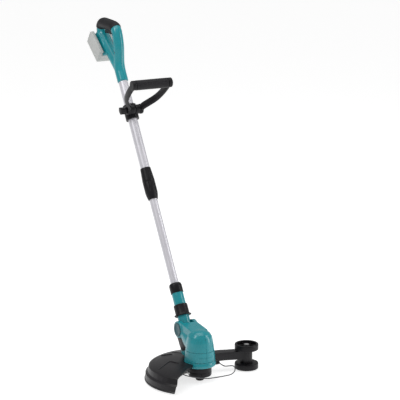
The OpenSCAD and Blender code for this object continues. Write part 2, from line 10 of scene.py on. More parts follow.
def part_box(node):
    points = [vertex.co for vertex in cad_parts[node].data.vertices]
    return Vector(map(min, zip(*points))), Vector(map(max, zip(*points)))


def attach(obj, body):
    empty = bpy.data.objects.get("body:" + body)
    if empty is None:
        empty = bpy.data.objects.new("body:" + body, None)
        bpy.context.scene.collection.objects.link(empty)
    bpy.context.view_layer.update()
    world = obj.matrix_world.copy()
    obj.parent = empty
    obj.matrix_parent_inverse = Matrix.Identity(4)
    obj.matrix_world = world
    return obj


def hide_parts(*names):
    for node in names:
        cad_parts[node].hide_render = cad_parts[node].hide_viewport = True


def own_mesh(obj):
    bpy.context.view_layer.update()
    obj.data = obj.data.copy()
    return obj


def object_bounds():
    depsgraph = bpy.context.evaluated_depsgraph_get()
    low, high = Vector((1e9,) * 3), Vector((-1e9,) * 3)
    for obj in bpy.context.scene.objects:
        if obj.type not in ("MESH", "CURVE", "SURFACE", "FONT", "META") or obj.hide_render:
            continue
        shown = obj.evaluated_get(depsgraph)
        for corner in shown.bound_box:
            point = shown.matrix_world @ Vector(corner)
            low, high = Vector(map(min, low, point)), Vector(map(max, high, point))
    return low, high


bl_info = {
    "name": "String trimmer",
    "version": (1, 0, 0),
    "blender": (4, 5, 0),
    "location": "View3D > Sidebar > Trimmer",
    "description": "Builds the looks of a telescopic string trimmer around its packed frame",
    "category": "Add Mesh",
}

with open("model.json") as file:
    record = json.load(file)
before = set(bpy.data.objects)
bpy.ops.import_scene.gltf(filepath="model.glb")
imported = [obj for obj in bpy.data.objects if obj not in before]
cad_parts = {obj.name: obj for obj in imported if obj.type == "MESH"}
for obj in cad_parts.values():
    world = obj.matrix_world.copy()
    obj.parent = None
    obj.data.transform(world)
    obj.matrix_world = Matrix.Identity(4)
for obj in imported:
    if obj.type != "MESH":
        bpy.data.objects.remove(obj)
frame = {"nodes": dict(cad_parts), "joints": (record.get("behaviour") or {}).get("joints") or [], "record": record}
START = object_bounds()
NODES = frame["nodes"]
SLOTS = {part["node"]: part["material_slot"] for part in frame["record"]["subparts"]}
JOINTS = {joint["name"]: joint for joint in frame["joints"]}
MM = 0.001


# ---- where things are ----
def frame_of(origin, y_axis, z_axis):
    """A frame in millimetres at a point in metres, with x to the user's right."""
    x_axis = y_axis.cross(z_axis)
    turn = Matrix((x_axis, y_axis, z_axis)).transposed().to_4x4()
    return Matrix.Translation(origin) @ turn @ Matrix.Scale(MM, 4)


def shift(x=0.0, y=0.0, z=0.0):
    """A move by three distances."""
    return Matrix.Translation((x, y, z))


def tilt(degrees):
    """A turn about x."""
    return Matrix.Rotation(math.radians(degrees), 4, "X")


ALONG = Vector(JOINTS["shaft_telescope"]["axis"]).normalized()
PIVOT = Vector(JOINTS["head_tilt"]["pos_m"])
SHAFT = frame_of(PIVOT, Vector((0, ALONG.z, -ALONG.y)), ALONG)
HEAD = frame_of(Vector((0, 0, 0)), Vector((0, 1, 0)), Vector((0, 0, 1)))
LEAN = math.degrees(math.atan2(-ALONG.y, ALONG.z))
CLAMP = Vector(JOINTS["front_handle_tilt"]["pos_m"])
# The handle's foot, and the middle of its top bar, from the tilt pivot along the shaft.
HANDLE_S = 780.0
GRIP_MIDDLE = (0, 5, HANDLE_S + 186.5)
HANDLE = SHAFT @ shift(z=HANDLE_S)
GRIP = frame_of(SHAFT @ Vector(GRIP_MIDDLE), Vector((0, 1, 0)), Vector((0, 0, 1)))


# ---- shapes ----
def smooth_path(points, steps, closed=False):
    """Points on a smooth line through the given points."""
    count = len(points)
    line = [Vector(p) for p in points]
    spans = count if closed else count - 1
    out = []
    for i in range(spans):
        if closed:
            a, b, c, d = (line[(i + k) % count] for k in (-1, 0, 1, 2))
        else:
            a, b, c, d = (line[min(max(i + k, 0), count - 1)] for k in (-1, 0, 1, 2))
        for k in range(steps):
            t = k / steps
            out.append(0.5 * (2 * b + (c - a) * t + (2 * a - 5 * b + 4 * c - d) * t * t
                              + (3 * b - a - 3 * c + d) * t ** 3))
    return out if closed else out + [line[-1]]


class Shape:
    """A closed shape in millimetres, in its own frame until it is placed."""

    def __init__(self):
        self.bm = bmesh.new()

    def _moved(self, before, place):
        self.bm.verts.ensure_lookup_table()
        if place is not None:
            bmesh.ops.transform(self.bm, matrix=place, verts=self.bm.verts[before:])
        return self

    def sweep(self, path, wide, high, across, steps=32, closed=False):
        """An oval tube along a path; wide and high are numbers or functions of the share of the way."""
        rings = []
        last = len(path) - 1
        for i, point in enumerate(path):
            if closed:
                ahead = path[(i + 1) % len(path)] - path[i - 1]
            else:
                ahead = path[min(i + 1, last)] - path[max(i - 1, 0)]
            ahead.normalize()
            side = (across - ahead * across.dot(ahead)).normalized()
            share = i / last
            a = wide(share) if callable(wide) else wide
            b = high(share) if callable(high) else high
            turn = Matrix((side * a, ahead.cross(side) * b, ahead)).transposed().to_4x4()
            made = bmesh.ops.create_circle(self.bm, cap_ends=False, radius=1, segments=steps,
                                           matrix=Matrix.Translation(point) @ turn)["verts"]
            rings.append(list(dict.fromkeys(e for v in made for e in v.link_edges)))
        pairs = list(zip(rings, rings[1:])) + ([(rings[-1], rings[0])] if closed else [])
        for one, two in pairs:
            bmesh.ops.bridge_loops(self.bm, edges=one + two)
        if not closed:
            for ring in (rings[0], rings[-1]):
                bmesh.ops.edgeloop_fill(self.bm, edges=ring)
        return self

    def turn(self, outline, steps=96, closed=True):
        """An outline of (radius, height) points turned all the way about the z axis."""
        verts = [self.bm.verts.new((r, 0, z)) for r, z in outline]
        ends = verts[1:] + verts[:1] if closed else verts[1:]
        edges = [self.bm.edges.new(pair) for pair in zip(verts, ends)]
        bmesh.ops.spin(self.bm, geom=verts + edges, axis=(0, 0, 1), cent=(0, 0, 0),
                       angle=math.tau, steps=steps, use_merge=True)
        return self

    def rod(self, radius, x0, x1, y=0.0, z=0.0, steps=64):
        """A round bar along x."""
        place = shift((x0 + x1) / 2, y, z) @ Matrix.Rotation(math.pi / 2, 4, "Y")
        bmesh.ops.create_cone(self.bm, cap_ends=True, segments=steps, radius1=radius,
                              radius2=radius, depth=abs(x1 - x0), matrix=place)
        return self

    def block(self, low, high, place=None):
        """A box between two corners."""
        before = len(self.bm.verts)
        low, high = Vector(low), Vector(high)
        bmesh.ops.create_cube(self.bm, size=1, matrix=Matrix.Translation((low + high) / 2)
                              @ Matrix.Diagonal(high - low).to_4x4())
        return self._moved(before, place)

    def plate(self, outline, x0, x1, place=None):
        """A flat outline of (y, z) points, as thick as from x0 to x1."""
        before = len(self.bm.verts)
        verts = [self.bm.verts.new((x0, y, z)) for y, z in outline]
        face = bmesh.ops.contextual_create(self.bm, geom=verts)["faces"]
        made = bmesh.ops.extrude_face_region(self.bm, geom=face)["geom"]
        moved = [v for v in made if isinstance(v, bmesh.types.BMVert)]
        bmesh.ops.translate(self.bm, vec=(x1 - x0, 0, 0), verts=moved)
        return self._moved(before, place)

    def tidy(self):
        """Merges doubles and turns every face outward."""
        bmesh.ops.remove_doubles(self.bm, verts=self.bm.verts, dist=0.002)
        bmesh.ops.dissolve_degenerate(self.bm, edges=self.bm.edges, dist=0.0005)
        bmesh.ops.recalc_face_normals(self.bm, faces=self.bm.faces)
        return self

    def round(self, width, segments=3, angle=28.0, where=None):
        """Rounds the edges sharper than the angle."""
        self.tidy()
        sharp = [e for e in self.bm.edges if len(e.link_faces) == 2
                 and e.calc_face_angle(0) > math.radians(angle)
                 and (where is None or where(e))]
        bmesh.ops.bevel(self.bm, geom=sharp, offset=width, segments=segments, profile=0.5,
                        affect="EDGES", clamp_overlap=True, material=-1)
        return self

    def _object(self, name="work"):
        mesh = bpy.data.meshes.new(name)
        self.bm.to_mesh(mesh)
        obj = bpy.data.objects.new(name, mesh)
        bpy.context.scene.collection.objects.link(obj)
        return obj

    def _take(self, obj, extra=()):
        """Takes back the shape that the object's modifiers make."""
        bpy.context.view_layer.update()
        graph = bpy.context.evaluated_depsgraph_get()
        mesh = bpy.data.meshes.new_from_object(obj.evaluated_get(graph))
        self.bm.clear()
        self.bm.from_mesh(mesh)
        bpy.data.meshes.remove(mesh)
        for old in (obj, *extra):
            bpy.data.meshes.remove(old.data)
        return self

    def carve(self, other):
        """Cuts another shape away from this one."""
        self.tidy()
        other.tidy()
        mine, theirs = self._object(), other._object("cutter")
        cut = mine.modifiers.new("cut", "BOOLEAN")
        cut.operation = "DIFFERENCE"
        cut.solver = "EXACT"
        cut.object = theirs
        self._take(mine, (theirs,))
        other.bm.free()
        return self

    def melt(self, size, passes):
        """Merges overlapping shapes into one skin and softens it."""
        self.tidy()
        mine = self._object()
        skin = mine.modifiers.new("skin", "REMESH")
        skin.mode = "VOXEL"
        skin.voxel_size = size
        self._take(mine)
        for _ in range(passes):
            bmesh.ops.smooth_vert(self.bm, verts=self.bm.verts, factor=0.5,
                                  use_axis_x=True, use_axis_y=True, use_axis_z=True)
        return self

    def groove(self, normal, at, width, depth, where=None):
        """A narrow groove where a plane crosses the surface."""
        normal = Vector(normal)
        for offset in (-width, -width * 0.45, width * 0.45, width):
            bmesh.ops.bisect_plane(self.bm, geom=self.bm.verts[:] + self.bm.edges[:]
                                   + self.bm.faces[:], plane_co=normal * (at + offset),
                                   plane_no=normal)
        self.bm.normal_update()
        inner = [(v, v.normal.copy()) for v in self.bm.verts
                 if abs(v.co.dot(normal) - at) < width * 0.46 and (where is None or where(v.co))]
        for v, out in inner:
            v.co -= out * depth
        return self

    def placed(self, name, place, paint, body, replaces=(), slot=None, crease=32.0):
        """The finished piece, riding on a body."""
        self.tidy()
        self.bm.transform(place)
        mesh = bpy.data.meshes.new(name)
        self.bm.to_mesh(mesh)
        self.bm.free()
        mesh.shade_smooth()
        mesh.set_sharp_from_angle(angle=math.radians(crease))
        obj = bpy.data.objects.new(name, mesh)
        bpy.context.scene.collection.objects.link(obj)
        mesh.materials.append(paint)
        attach(obj, body)
        if replaces:
            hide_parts(*replaces)
        return obj


def copied(node):
    """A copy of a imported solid, merged, with its flat faces whole again."""
    shape = Shape()
    shape.bm.from_mesh(NODES[node].data)
    shape.bm.transform(Matrix.Scale(1 / MM, 4))
    bmesh.ops.remove_doubles(shape.bm, verts=shape.bm.verts, dist=0.01)
    bmesh.ops.dissolve_limit(shape.bm, angle_limit=math.radians(1.0), verts=shape.bm.verts,
                             edges=shape.bm.edges, use_dissolve_boundaries=False)
    return shape


WORLD = Matrix.Scale(MM, 4)


def rounded_copy(node, body, paint, width=0.5, segments=2, angle=28.0, crease=32.0):
    """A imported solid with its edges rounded."""
    return copied(node).round(width, segments, angle).placed(
        node + "_rounded", WORLD, paint, body, (node,), crease=crease)


def pressed_spring(node, body, along):
    """A packed spring, copied onto its body as it stands."""
    axis = Vector((0, 0, 0))
    axis[along] = 1.0
    spring = copied(node).placed(node + "_coil", WORLD, finish(SLOTS[node]), body, (node,))
    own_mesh(spring)


# ---- shader maths ----
class Value:
    """A shader number that adds, subtracts and multiplies like any number."""

    def __init__(self, paint, socket):
        self.paint = paint
        self.socket = socket

    def _math(self, operation, *others):
        inputs = {i: v for i, v in enumerate(others)}
        return self.paint.node("ShaderNodeMath", {"operation": operation}, inputs)

    def __add__(self, other):
        return self._math("ADD", self, other)

    def __radd__(self, other):
        return self._math("ADD", other, self)

    def __sub__(self, other):
        return self._math("SUBTRACT", self, other)

    def __rsub__(self, other):
        return self._math("SUBTRACT", other, self)

    def __mul__(self, other):
        return self._math("MULTIPLY", self, other)

    def __rmul__(self, other):
        return self._math("MULTIPLY", other, self)

    def step(self, low, high):
        """Rises smoothly from 0 at low to 1 at high."""
        return self.paint.node("ShaderNodeMapRange", {"interpolation_type": "SMOOTHSTEP"},
                               {"Value": self, "From Min": low, "From Max": high})


class Paint:
    """A material and the nodes that feed it."""

    def __init__(self, name):
        self.material = bpy.data.materials.new(name)
        self.material.use_nodes = True
        self.tree = self.material.node_tree
        self.surface = self.tree.nodes["Principled BSDF"]
        self.place = self.node("ShaderNodeTexCoord", output="Object")

    def node(self, kind, settings=None, inputs=None, output=0):
        """Adds a node, with its settings and its inputs' values or links."""
        made = self.tree.nodes.new(kind)
        for key, value in (settings or {}).items():
            setattr(made, key, value)
        for key, value in (inputs or {}).items():
            self.feed(made.inputs[key], value)
        return Value(self, made.outputs[output])

    def feed(self, socket, value):
        """Links a socket to a shader number, or sets it to a plain one."""
        if isinstance(value, Value):
            self.tree.links.new(value.socket, socket)
        else:
            socket.default_value = value

    def noise(self, scale, detail=2.0, rough=0.5, place=None):
        return self.node("ShaderNodeTexNoise", None,
                         {"Vector": place or self.place, "Scale": scale, "Detail": detail,
                          "Roughness": rough})

    def cells(self, scale):
        return self.node("ShaderNodeTexVoronoi", {"feature": "F1"},
                         {"Vector": self.place, "Scale": scale}, output="Distance")

    def turned(self, degrees, stretch):
        """Object coordinates turned about x so that z lies along the shaft."""
        return self.node("ShaderNodeMapping", None,
                         {"Vector": self.place, "Rotation": (math.radians(degrees), 0, 0),
                          "Scale": stretch})

    def blend(self, share, one, two):
        """Mixes two colours; a Mix node's colour sockets are its inputs 6 and 7 and its output 2."""
        return self.node("ShaderNodeMix", {"data_type": "RGBA"}, {0: share, 6: one, 7: two}, 2)

    def wear(self, **channels):
        """Sets the surface's own inputs."""
        for key, value in channels.items():
            self.feed(self.surface.inputs[key.replace("_", " ")], value)

    def relief(self, height, distance):
        """Fine bumps on the surface; the distance is their height in metres."""
        bump = self.node("ShaderNodeBump", None, {"Height": height, "Distance": distance,
                                                  "Strength": 1.0})
        self.feed(self.surface.inputs["Normal"], bump)


def rgba(colour, factor=1.0):
    """A socket's colour, brighter or darker by a factor."""
    return (colour[0] * factor, colour[1] * factor, colour[2] * factor, 1.0)


DUST = (0.40, 0.39, 0.38, 1.0)


def moulded(name, colour, rough, grain=900.0, depth=0.00004, coat=0.0, vary=0.12, shine=0.5,
            dust=0.03):
    """Moulded plastic: fine grain, soft flow marks and a little dust in the colour."""
    paint = Paint(name)
    flow = paint.noise(22.0, 3.0)
    fine = paint.noise(grain, 2.0)
    specks = paint.noise(340.0, 4.0, 0.7).step(0.62, 0.78)
    tone = paint.blend(flow.step(0.3, 0.7), rgba(colour, 1 - vary), rgba(colour, 1 + vary))
    dusty = paint.blend(specks * dust, tone, DUST)
    satin = rough + (fine - 0.5) * 0.12 + (flow - 0.5) * 0.08
    paint.wear(Base_Color=dusty, Specular_IOR_Level=shine, Roughness=satin,
               Coat_Weight=coat, Coat_Roughness=0.12)
    paint.relief(fine + flow * 0.4, depth)
    return paint.material


def rubbery(name, colour, pitch=420.0):
    """Soft moulded rubber with a fine pebbled pattern, the pebbles' tops painted lighter and the hollows between
    them painted darker.
    """
    paint = Paint(name)
    pebbles = paint.cells(pitch)
    flow = paint.noise(30.0, 3.0)
    # Painted light and shade: the colour is lightest at each pebble's middle, where the bump rises highest, and
    # darkest in the hollows between pebbles.
    tone = paint.blend(pebbles.step(0.1, 0.8), rgba(colour, 1.15), rgba(colour, 0.6))
    paint.wear(Base_Color=tone, Roughness=0.5 + (flow - 0.5) * 0.16, Specular_IOR_Level=0.25)
    paint.relief(0.0 - pebbles, 0.00025)
    return paint.material


def metal(name, colour, rough, lean=0.0, metallic=1.0, drawn=(900.0, 900.0, 6.0)):
    """Drawn or turned metal with fine lines along it."""
    paint = Paint(name)
    lines = paint.noise(1.0, 2.0, 0.6, paint.turned(lean, drawn))
    cloud = paint.noise(14.0, 4.0)
    tone = paint.blend(cloud.step(0.25, 0.75), rgba(colour, 0.93), rgba(colour, 1.04))
    fine = paint.blend(lines.step(0.3, 0.7), tone, rgba(colour, 0.97))
    paint.wear(Base_Color=fine, Metallic=metallic,
               Roughness=rough + (lines - 0.5) * 0.16 + (cloud - 0.5) * 0.08)
    paint.relief(lines, 0.00002)
    return paint.material


# ---- settings ----
def length(name, default, description):
    return FloatProperty(name=name, default=default, description=description, unit="LENGTH",
                         subtype="DISTANCE")


def colour(name, default, description):
    return FloatVectorProperty(name=name, default=default, description=description,
                               subtype="COLOR", size=3, min=0, max=1)


class TrimmerSizes(bpy.types.PropertyGroup):
    """Sizes that belong to the looks alone."""
    skin: length("Skin", 0.0012, "Size of the squares of a moulded skin")
    seam: length("Seam", 0.0006, "Half the width of a seam between two shells")
    seam_depth: length("Seam depth", 0.0006, "Depth of a seam")
    passes: IntProperty(name="Softening", default=6, min=0, max=30,
                        description="How often a moulded skin is softened")
    floor_glow: FloatProperty(name="Floor glow", default=0.74, min=0, max=2,
                              description="How brightly the floor shines by itself")
    camera_distance: length("Camera distance", 5.795, "From the camera to the middle")
    camera_around: FloatProperty(name="Camera azimuth", default=math.radians(153.54),
                                 description="Turn of the camera about the trimmer",
                                 unit="ROTATION", subtype="ANGLE")
    camera_above: FloatProperty(name="Camera elevation", default=math.radians(13.73),
                                description="Height of the camera as an angle",
                                unit="ROTATION", subtype="ANGLE")
    lens: FloatProperty(name="Lens", default=177.2, description="Focal length", unit="CAMERA")


class TrimmerColours(bpy.types.PropertyGroup):
    """Base colours of the finishes."""
    teal: colour("Teal", (0.007, 0.235, 0.272), "Glossy shells")
    dark_teal: colour("Dark teal", (0.004, 0.072, 0.09), "Tilt button and its cap")
    black: colour("Black", (0.0055, 0.005, 0.0065), "Hard plastic")
    guard: colour("Guard", (0.0075, 0.0065, 0.0085), "Guard and edging arm")
    rubber: colour("Rubber", (0.008, 0.0075, 0.010), "Soft grips")
    alloy: colour("Alloy", (0.62, 0.61, 0.65), "Tubes")
    steel: colour("Steel", (0.55, 0.55, 0.56), "Screws, pins and springs")
    wire: colour("Wire", (0.03, 0.028, 0.032), "Coated wire")
    pale: colour("Pale", (0.42, 0.43, 0.42), "Battery and spool")
    floor: colour("Floor", (0.5, 0.5, 0.5), "Floor and backdrop")


def sizes():
    """The sizes that the user has set."""
    return bpy.context.scene.trimmer_sizes


def finish(slot):
    """The material of a slot, made once."""
    made = bpy.data.materials.get("trimmer_" + slot)
    if made is not None:
        return made
    c = bpy.context.scene.trimmer_colours
    name = "trimmer_" + slot
    recipes = {
        "teal_shell": lambda: moulded(name, c.teal, 0.28, 1100, 0.00002, 0.18, 0.05, 0.42),
        "teal_dark": lambda: moulded(name, c.dark_teal, 0.36, 1100, 0.00002, 0.0, 0.08, 0.3),
        "black_plastic": lambda: moulded(name, c.black, 0.40, 800, 0.00005, 0.0, 0.15, 0.22, 0.012),
        "guard_black": lambda: moulded(name, c.guard, 0.36, 700, 0.00005, 0.0, 0.15, 0.3, 0.012),
        "soft_rubber": lambda: rubbery(name, c.rubber),
        "alloy": lambda: metal(name, c.alloy, 0.40, -LEAN, 0.5),
        "steel": lambda: metal(name, c.steel, 0.30, 0, 1.0, (40.0, 900.0, 900.0)),
        "dark_wire": lambda: moulded(name, c.wire, 0.35, 1500, 0.00002, 0.3, 0.1),
        "pale_plastic": lambda: moulded(name, c.pale, 0.45, 900, 0.00003, 0.1, 0.03),
        "cell_wrap": lambda: moulded(name, (0.05, 0.16, 0.12), 0.35, 1500, 0.00001, 0.3),
        "copper": lambda: metal(name, (0.72, 0.32, 0.18), 0.35, 0, 1.0, (900.0, 900.0, 900.0)),
        "magnet": lambda: moulded(name, (0.035, 0.035, 0.04), 0.5, 500, 0.0001),
        "lead": lambda: moulded(name, (0.018, 0.018, 0.02), 0.5, 900, 0.00004),
        "nylon": lambda: moulded(name, (0.78, 0.78, 0.72), 0.35, 1200, 0.00001, 0.2, 0.03),
    }
    return recipes[slot]()


# ---- stage ----
MIDDLE = Vector((0, -0.25, 0.47))
AIM_RIGHT = 0.1165
AIM_UP = 0.01
SKY_STRENGTH = 0.42
FLOOR_SIZE = 14
# Each light's name, its place outward, rightward and upward from the middle, its size and its watts.
LIGHTS = [
    ("key", (1.2, -1.9, 2.2), (1.0, 1.4), 34),
    ("side", (0.4, 2.2, 0.5), (0.5, 2.2), 20),
    ("top", (0, 0, 2.6), (2.2, 2.2), 30),
]


def softbox(name, place, size, watts):
    """A soft light that faces the middle of the trimmer."""
    data = bpy.data.lights.new(name, "AREA")
    data.shape = "RECTANGLE"
    data.size, data.size_y = size
    data.energy = watts
    obj = bpy.data.objects.new(name, data)
    obj.location = place
    obj.rotation_euler = (MIDDLE - place).to_track_quat("-Z", "Y").to_euler()
    bpy.context.scene.collection.objects.link(obj)


class TRIMMER_OT_stage(bpy.types.Operator):
    """Makes the camera, the lights, the floor and the sky"""
    bl_idname = "trimmer.stage"
    bl_label = "Stage"

    def execute(self, context):
        s = sizes()
        a, e = s.camera_around, s.camera_above
        out = Vector((math.sin(a) * math.cos(e), -math.cos(a) * math.cos(e), math.sin(e)))
        right = Vector((math.cos(a), math.sin(a), 0))
        data = bpy.data.cameras.new("camera")
        data.lens = s.lens
        data.sensor_width = 36
        data.clip_end = 100
        camera = bpy.data.objects.new("camera", data)
        camera.location = MIDDLE + out * s.camera_distance
        aim = MIDDLE + right * AIM_RIGHT + right.cross(-out) * AIM_UP
        camera.rotation_euler = (aim - camera.location).to_track_quat("-Z", "Y").to_euler()
        bpy.context.scene.collection.objects.link(camera)
        bpy.context.scene.camera = camera

        for name, (outward, rightward, upward), size, watts in LIGHTS:
            place = MIDDLE + out * outward + right * rightward + Vector((0, 0, upward))
            softbox(name, place, size, watts)

        bpy.context.scene.view_settings.view_transform = "Standard"
        world = bpy.data.worlds.new("studio")
        bpy.context.scene.world = world
        world.use_nodes = True
        sky = world.node_tree.nodes["Background"]
        sky.inputs["Color"].default_value = (1, 1, 1, 1)
        sky.inputs["Strength"].default_value = SKY_STRENGTH

        floor = Shape()
        bmesh.ops.create_grid(floor.bm, x_segments=2, y_segments=2, size=FLOOR_SIZE)
        mesh = bpy.data.meshes.new("floor")
        floor.bm.to_mesh(mesh)
        obj = bpy.data.objects.new("floor", mesh)
        obj.location.z = START[0][2]
        bpy.context.scene.collection.objects.link(obj)
        c = bpy.context.scene.trimmer_colours
        paint = Paint("trimmer_floor")
        tone = paint.blend(paint.noise(3.0, 3.0).step(0.3, 0.7), rgba(c.floor, 0.995),
                           rgba(c.floor, 1.0))
        paint.wear(Base_Color=tone, Roughness=0.8, Emission_Color=(1, 1, 1, 1),
                   Emission_Strength=s.floor_glow)
        mesh.materials.append(paint.material)
        return {"FINISHED"}


# ---- rear handle ----
LOOP = [(0, 32), (6, 58), (18, 80), (30, 100), (38, 122), (42, 142), (41, 156), (33, 167),
        (15, 180), (-5, 193), (-24, 205), (-38, 208), (-49, 202), (-54, 190), (-53, 176),
        (-46, 156), (-36, 130), (-24, 100), (-12, 70), (-2, 45)]
LOOP_R = 16.0
# The soft bar stands proud of the loop and tapers over a share of its length at each end.
BAR_GAP = 0.2
BAR_PROUD = 1.5
BAR_TAPER = 0.05
SCREW_WELL_R = 3.5
SCREWS = [(22, 87), (41, 140), (-51, 170), (-25, 103)]
# The loop's points between which the soft bar lies.
GRIP_SPAN = (6, 12)
# The tube's socket as (radius, height), and the battery rail's body as (y, z).
SOCKET = [(0, 0), (14.9, 0), (16.6, 1.5), (16.6, 38), (16, 56), (0, 56)]
RAIL_BODY = [(-14, -13), (2, -6), (10, 30), (8, 62), (-4, 69), (-14, 68)]
RAIL_Y, RAIL_Z, RAIL_TILT = -36.0, 130.0, 21.0
RAIL = HANDLE @ shift(y=RAIL_Y, z=RAIL_Z) @ tilt(RAIL_TILT)


# The lock-off button's well: its radius and how far in along x it reaches.
BUTTON_WELL_R = 6.3
BUTTON_WELL = -5.5


def grip_openings():
    """The trigger's slot and the well that the lock-off button sinks into."""
    cutter = Shape().block((-7.6, -20.5, -34), (7.6, 36.5, -2.5))
    return cutter.rod(BUTTON_WELL_R, -30, BUTTON_WELL, 18, 3)


class TRIMMER_OT_handle(bpy.types.Operator):
    """Makes the loop handle and its soft bar"""
    bl_idname = "trimmer.handle"
    bl_label = "Loop handle"

    def execute(self, context):
        s = sizes()
        across = Vector((1, 0, 0))
        path = smooth_path([(0, y, z) for y, z in LOOP], 6, closed=True)
        to_grip = HANDLE.inverted() @ GRIP
        to_rail = HANDLE.inverted() @ RAIL
        shell = Shape().sweep(path, LOOP_R, LOOP_R, across, 40, closed=True)
        shell.turn(SOCKET, 64, closed=False)
        shell.block((-20.5, -19.1, -15.5), (20.5, -8.5, 69.5), to_rail)
        for side in (-1, 1):
            x = side * 22
            shell.block((x - 1.4, -13.8, -12), (x + 1.4, -11.2, 60), to_rail)
        shell.plate(RAIL_BODY, -17, 17, to_rail)
        shell.melt(s.skin / MM, s.passes)
        cutter = grip_openings()
        cutter.bm.transform(to_grip)
        for y, z in SCREWS:
            cutter.rod(SCREW_WELL_R, 12.6, 20, y, z, 32)
        shell.carve(cutter)
        shell.groove((1, 0, 0), 0, s.seam / MM, s.seam_depth / MM)
        shell.placed("handle_shell", HANDLE, finish("teal_shell"), "handle",
                     ("handle_shell_right", "handle_shell_left"), crease=50)

        steps = 8
        whole = smooth_path([(0, y, z) for y, z in LOOP], steps, closed=True)
        part = whole[GRIP_SPAN[0] * steps:GRIP_SPAN[1] * steps + 1]

        def swell(share):
            end = min(share, 1 - share) / BAR_TAPER
            return LOOP_R + BAR_GAP + BAR_PROUD * math.sqrt(min(end, 1.0))

        bar = Shape().sweep(part, swell, swell, across, 48)
        cutter = grip_openings()
        cutter.bm.transform(to_grip)
        bar.carve(cutter)
        bar.placed("soft_bar", HANDLE, finish("soft_rubber"), "handle", ("soft_grip",),
                   crease=40)
        return {"FINISHED"}


class TRIMMER_OT_trigger(bpy.types.Operator):
    """Makes the trigger and the lock-off button"""
    bl_idname = "trimmer.trigger"
    bl_label = "Trigger and lock-off"

    def execute(self, context):
        black = finish("black_plastic")
        rounded_copy("trigger", "trigger", black, 1.6, 4, 40)
        rounded_copy("lock_off_button", "lock_off", black, 0.8, 3)
        return {"FINISHED"}


class TRIMMER_OT_battery(bpy.types.Operator):
    """Makes the battery's two shells and its release button"""
    bl_idname = "trimmer.battery"
    bl_label = "Battery"

    def execute(self, context):
        pale = finish("pale_plastic")
        rounded_copy("battery_case", "battery", pale, 1.2, 3, 40)
        rounded_copy("battery_lid", "battery", pale, 0.6, 2, 40)
        rounded_copy("battery_button", "battery_release", finish("black_plastic"), 0.8, 3, 40)
        return {"FINISHED"}


# ---- shaft ----
class TRIMMER_OT_shaft(bpy.types.Operator):
    """Makes the fixed sleeve and the twist nut of the telescopic lock"""
    bl_idname = "trimmer.shaft"
    bl_label = "Twist lock"

    def execute(self, context):
        black = finish("black_plastic")
        rounded_copy("collar_sleeve", "handle", black, 0.7, 3, 20)
        rounded_copy("twist_nut", "twist_nut", black, 0.6, 3, 24)
        return {"FINISHED"}


class TRIMMER_OT_clamp(bpy.types.Operator):
    """Makes the front handle's clamp and its knob"""
    bl_idname = "trimmer.clamp"
    bl_label = "Front clamp"

    def execute(self, context):
        black = finish("black_plastic")
        rounded_copy("clamp_saddle", "front_clamp", black, 1.2, 3, 40)
        rounded_copy("toothed_washers", "front_clamp", black, 0.4, 2, 40)
        rounded_copy("clamp_knob", "clamp_knob", black, 1.0, 3, 40)
        return {"FINISHED"}


ARM = [(21.3, 6), (24, 20), (35, 38), (46.5, 58), (53.5, 80), (57.5, 108), (58.4, 132),
       (58.4, 152)]
GRIP_REACH = 152.0
GRIP_CORE_R = 9
GRIP_END_R = 14.5
EYE_R = 15
BOLT_HOLE_R = 4.4
# The sleeve's outline on one half as (radius, distance from its middle), with its end groove.
SLEEVE = [(9.2, -52), (13.2, -52), (14.75, -50.5), (14.75, -44), (14.2, -43.4), (14.2, -42.8),
          (14.75, -42.2)]
LOOP_TILT = 7.0
FRONT = Matrix.Translation(CLAMP) @ Matrix.Rotation(math.radians(LEAN + LOOP_TILT), 4, "X") \
    @ Matrix.Scale(MM, 4)


class TRIMMER_OT_front_handle(bpy.types.Operator):
    """Makes the front loop and its long grip"""
    bl_idname = "trimmer.front_handle"
    bl_label = "Front handle"

    def execute(self, context):
        loop = Shape()
        for side in (-1, 1):
            path = smooth_path([(side * x, reach, 0) for x, reach in ARM], 6)
            loop.sweep(path, 11.5, 6, Vector((0, 0, 1)), 28)
            loop.rod(EYE_R, side * 17.1, side * 25.5)
            loop.rod(GRIP_END_R, side * 52.4, side * 64.3, GRIP_REACH)
        loop.rod(GRIP_CORE_R, -57, 57, GRIP_REACH)
        loop.melt(1.1, 3)
        loop.carve(Shape().rod(14.6, -17.05, 17.05)
                   .rod(13, 25.55, 60).rod(13, -60, -25.55))
        loop.carve(Shape().rod(BOLT_HOLE_R, -40, 40))
        loop.placed("front_loop_smooth", FRONT, finish("black_plastic"), "front_handle",
                    ("front_loop",), crease=50)
        grip = Shape().turn(SLEEVE + [(r, -z) for r, z in reversed(SLEEVE)], 72)
        grip.bm.transform(shift(y=GRIP_REACH) @ Matrix.Rotation(math.pi / 2, 4, "Y"))
        grip.placed("front_grip_sleeve", FRONT, finish("soft_rubber"), "front_handle",
                    ("front_grip",))
        return {"FINISHED"}


# ---- swivel and tilt ----
class TRIMMER_OT_swivel(bpy.types.Operator):
    """Makes the rings, the sleeve and the neck below the tube"""
    bl_idname = "trimmer.swivel"
    bl_label = "Swivel"

    def execute(self, context):
        rounded_copy("top_ring", "lower_shaft", finish("black_plastic"), 1.0, 3, 20)
        rounded_copy("swivel_sleeve", "lower_shaft", finish("teal_shell"), 0.7, 3)
        rounded_copy("release_ring", "release_ring", finish("black_plastic"), 0.8, 3, 30)
        rounded_copy("neck", "neck", finish("teal_shell"), 1.4, 4, 40)
        rounded_copy("tilt_button", "tilt_button", finish("teal_dark"), 0.8, 3, 40)
        rounded_copy("pivot_cap", "motor_head", finish("teal_dark"), 0.8, 3, 40)
        pressed_spring("tilt_spring", "motor_head", 0)
        return {"FINISHED"}


KNUCKLE_R = 24.5
BUTTON_BORE_R = 20.4
SHAFT_HOLE = [(0, 38), (8.3, 38), (8.3, 56), (0, 56)]
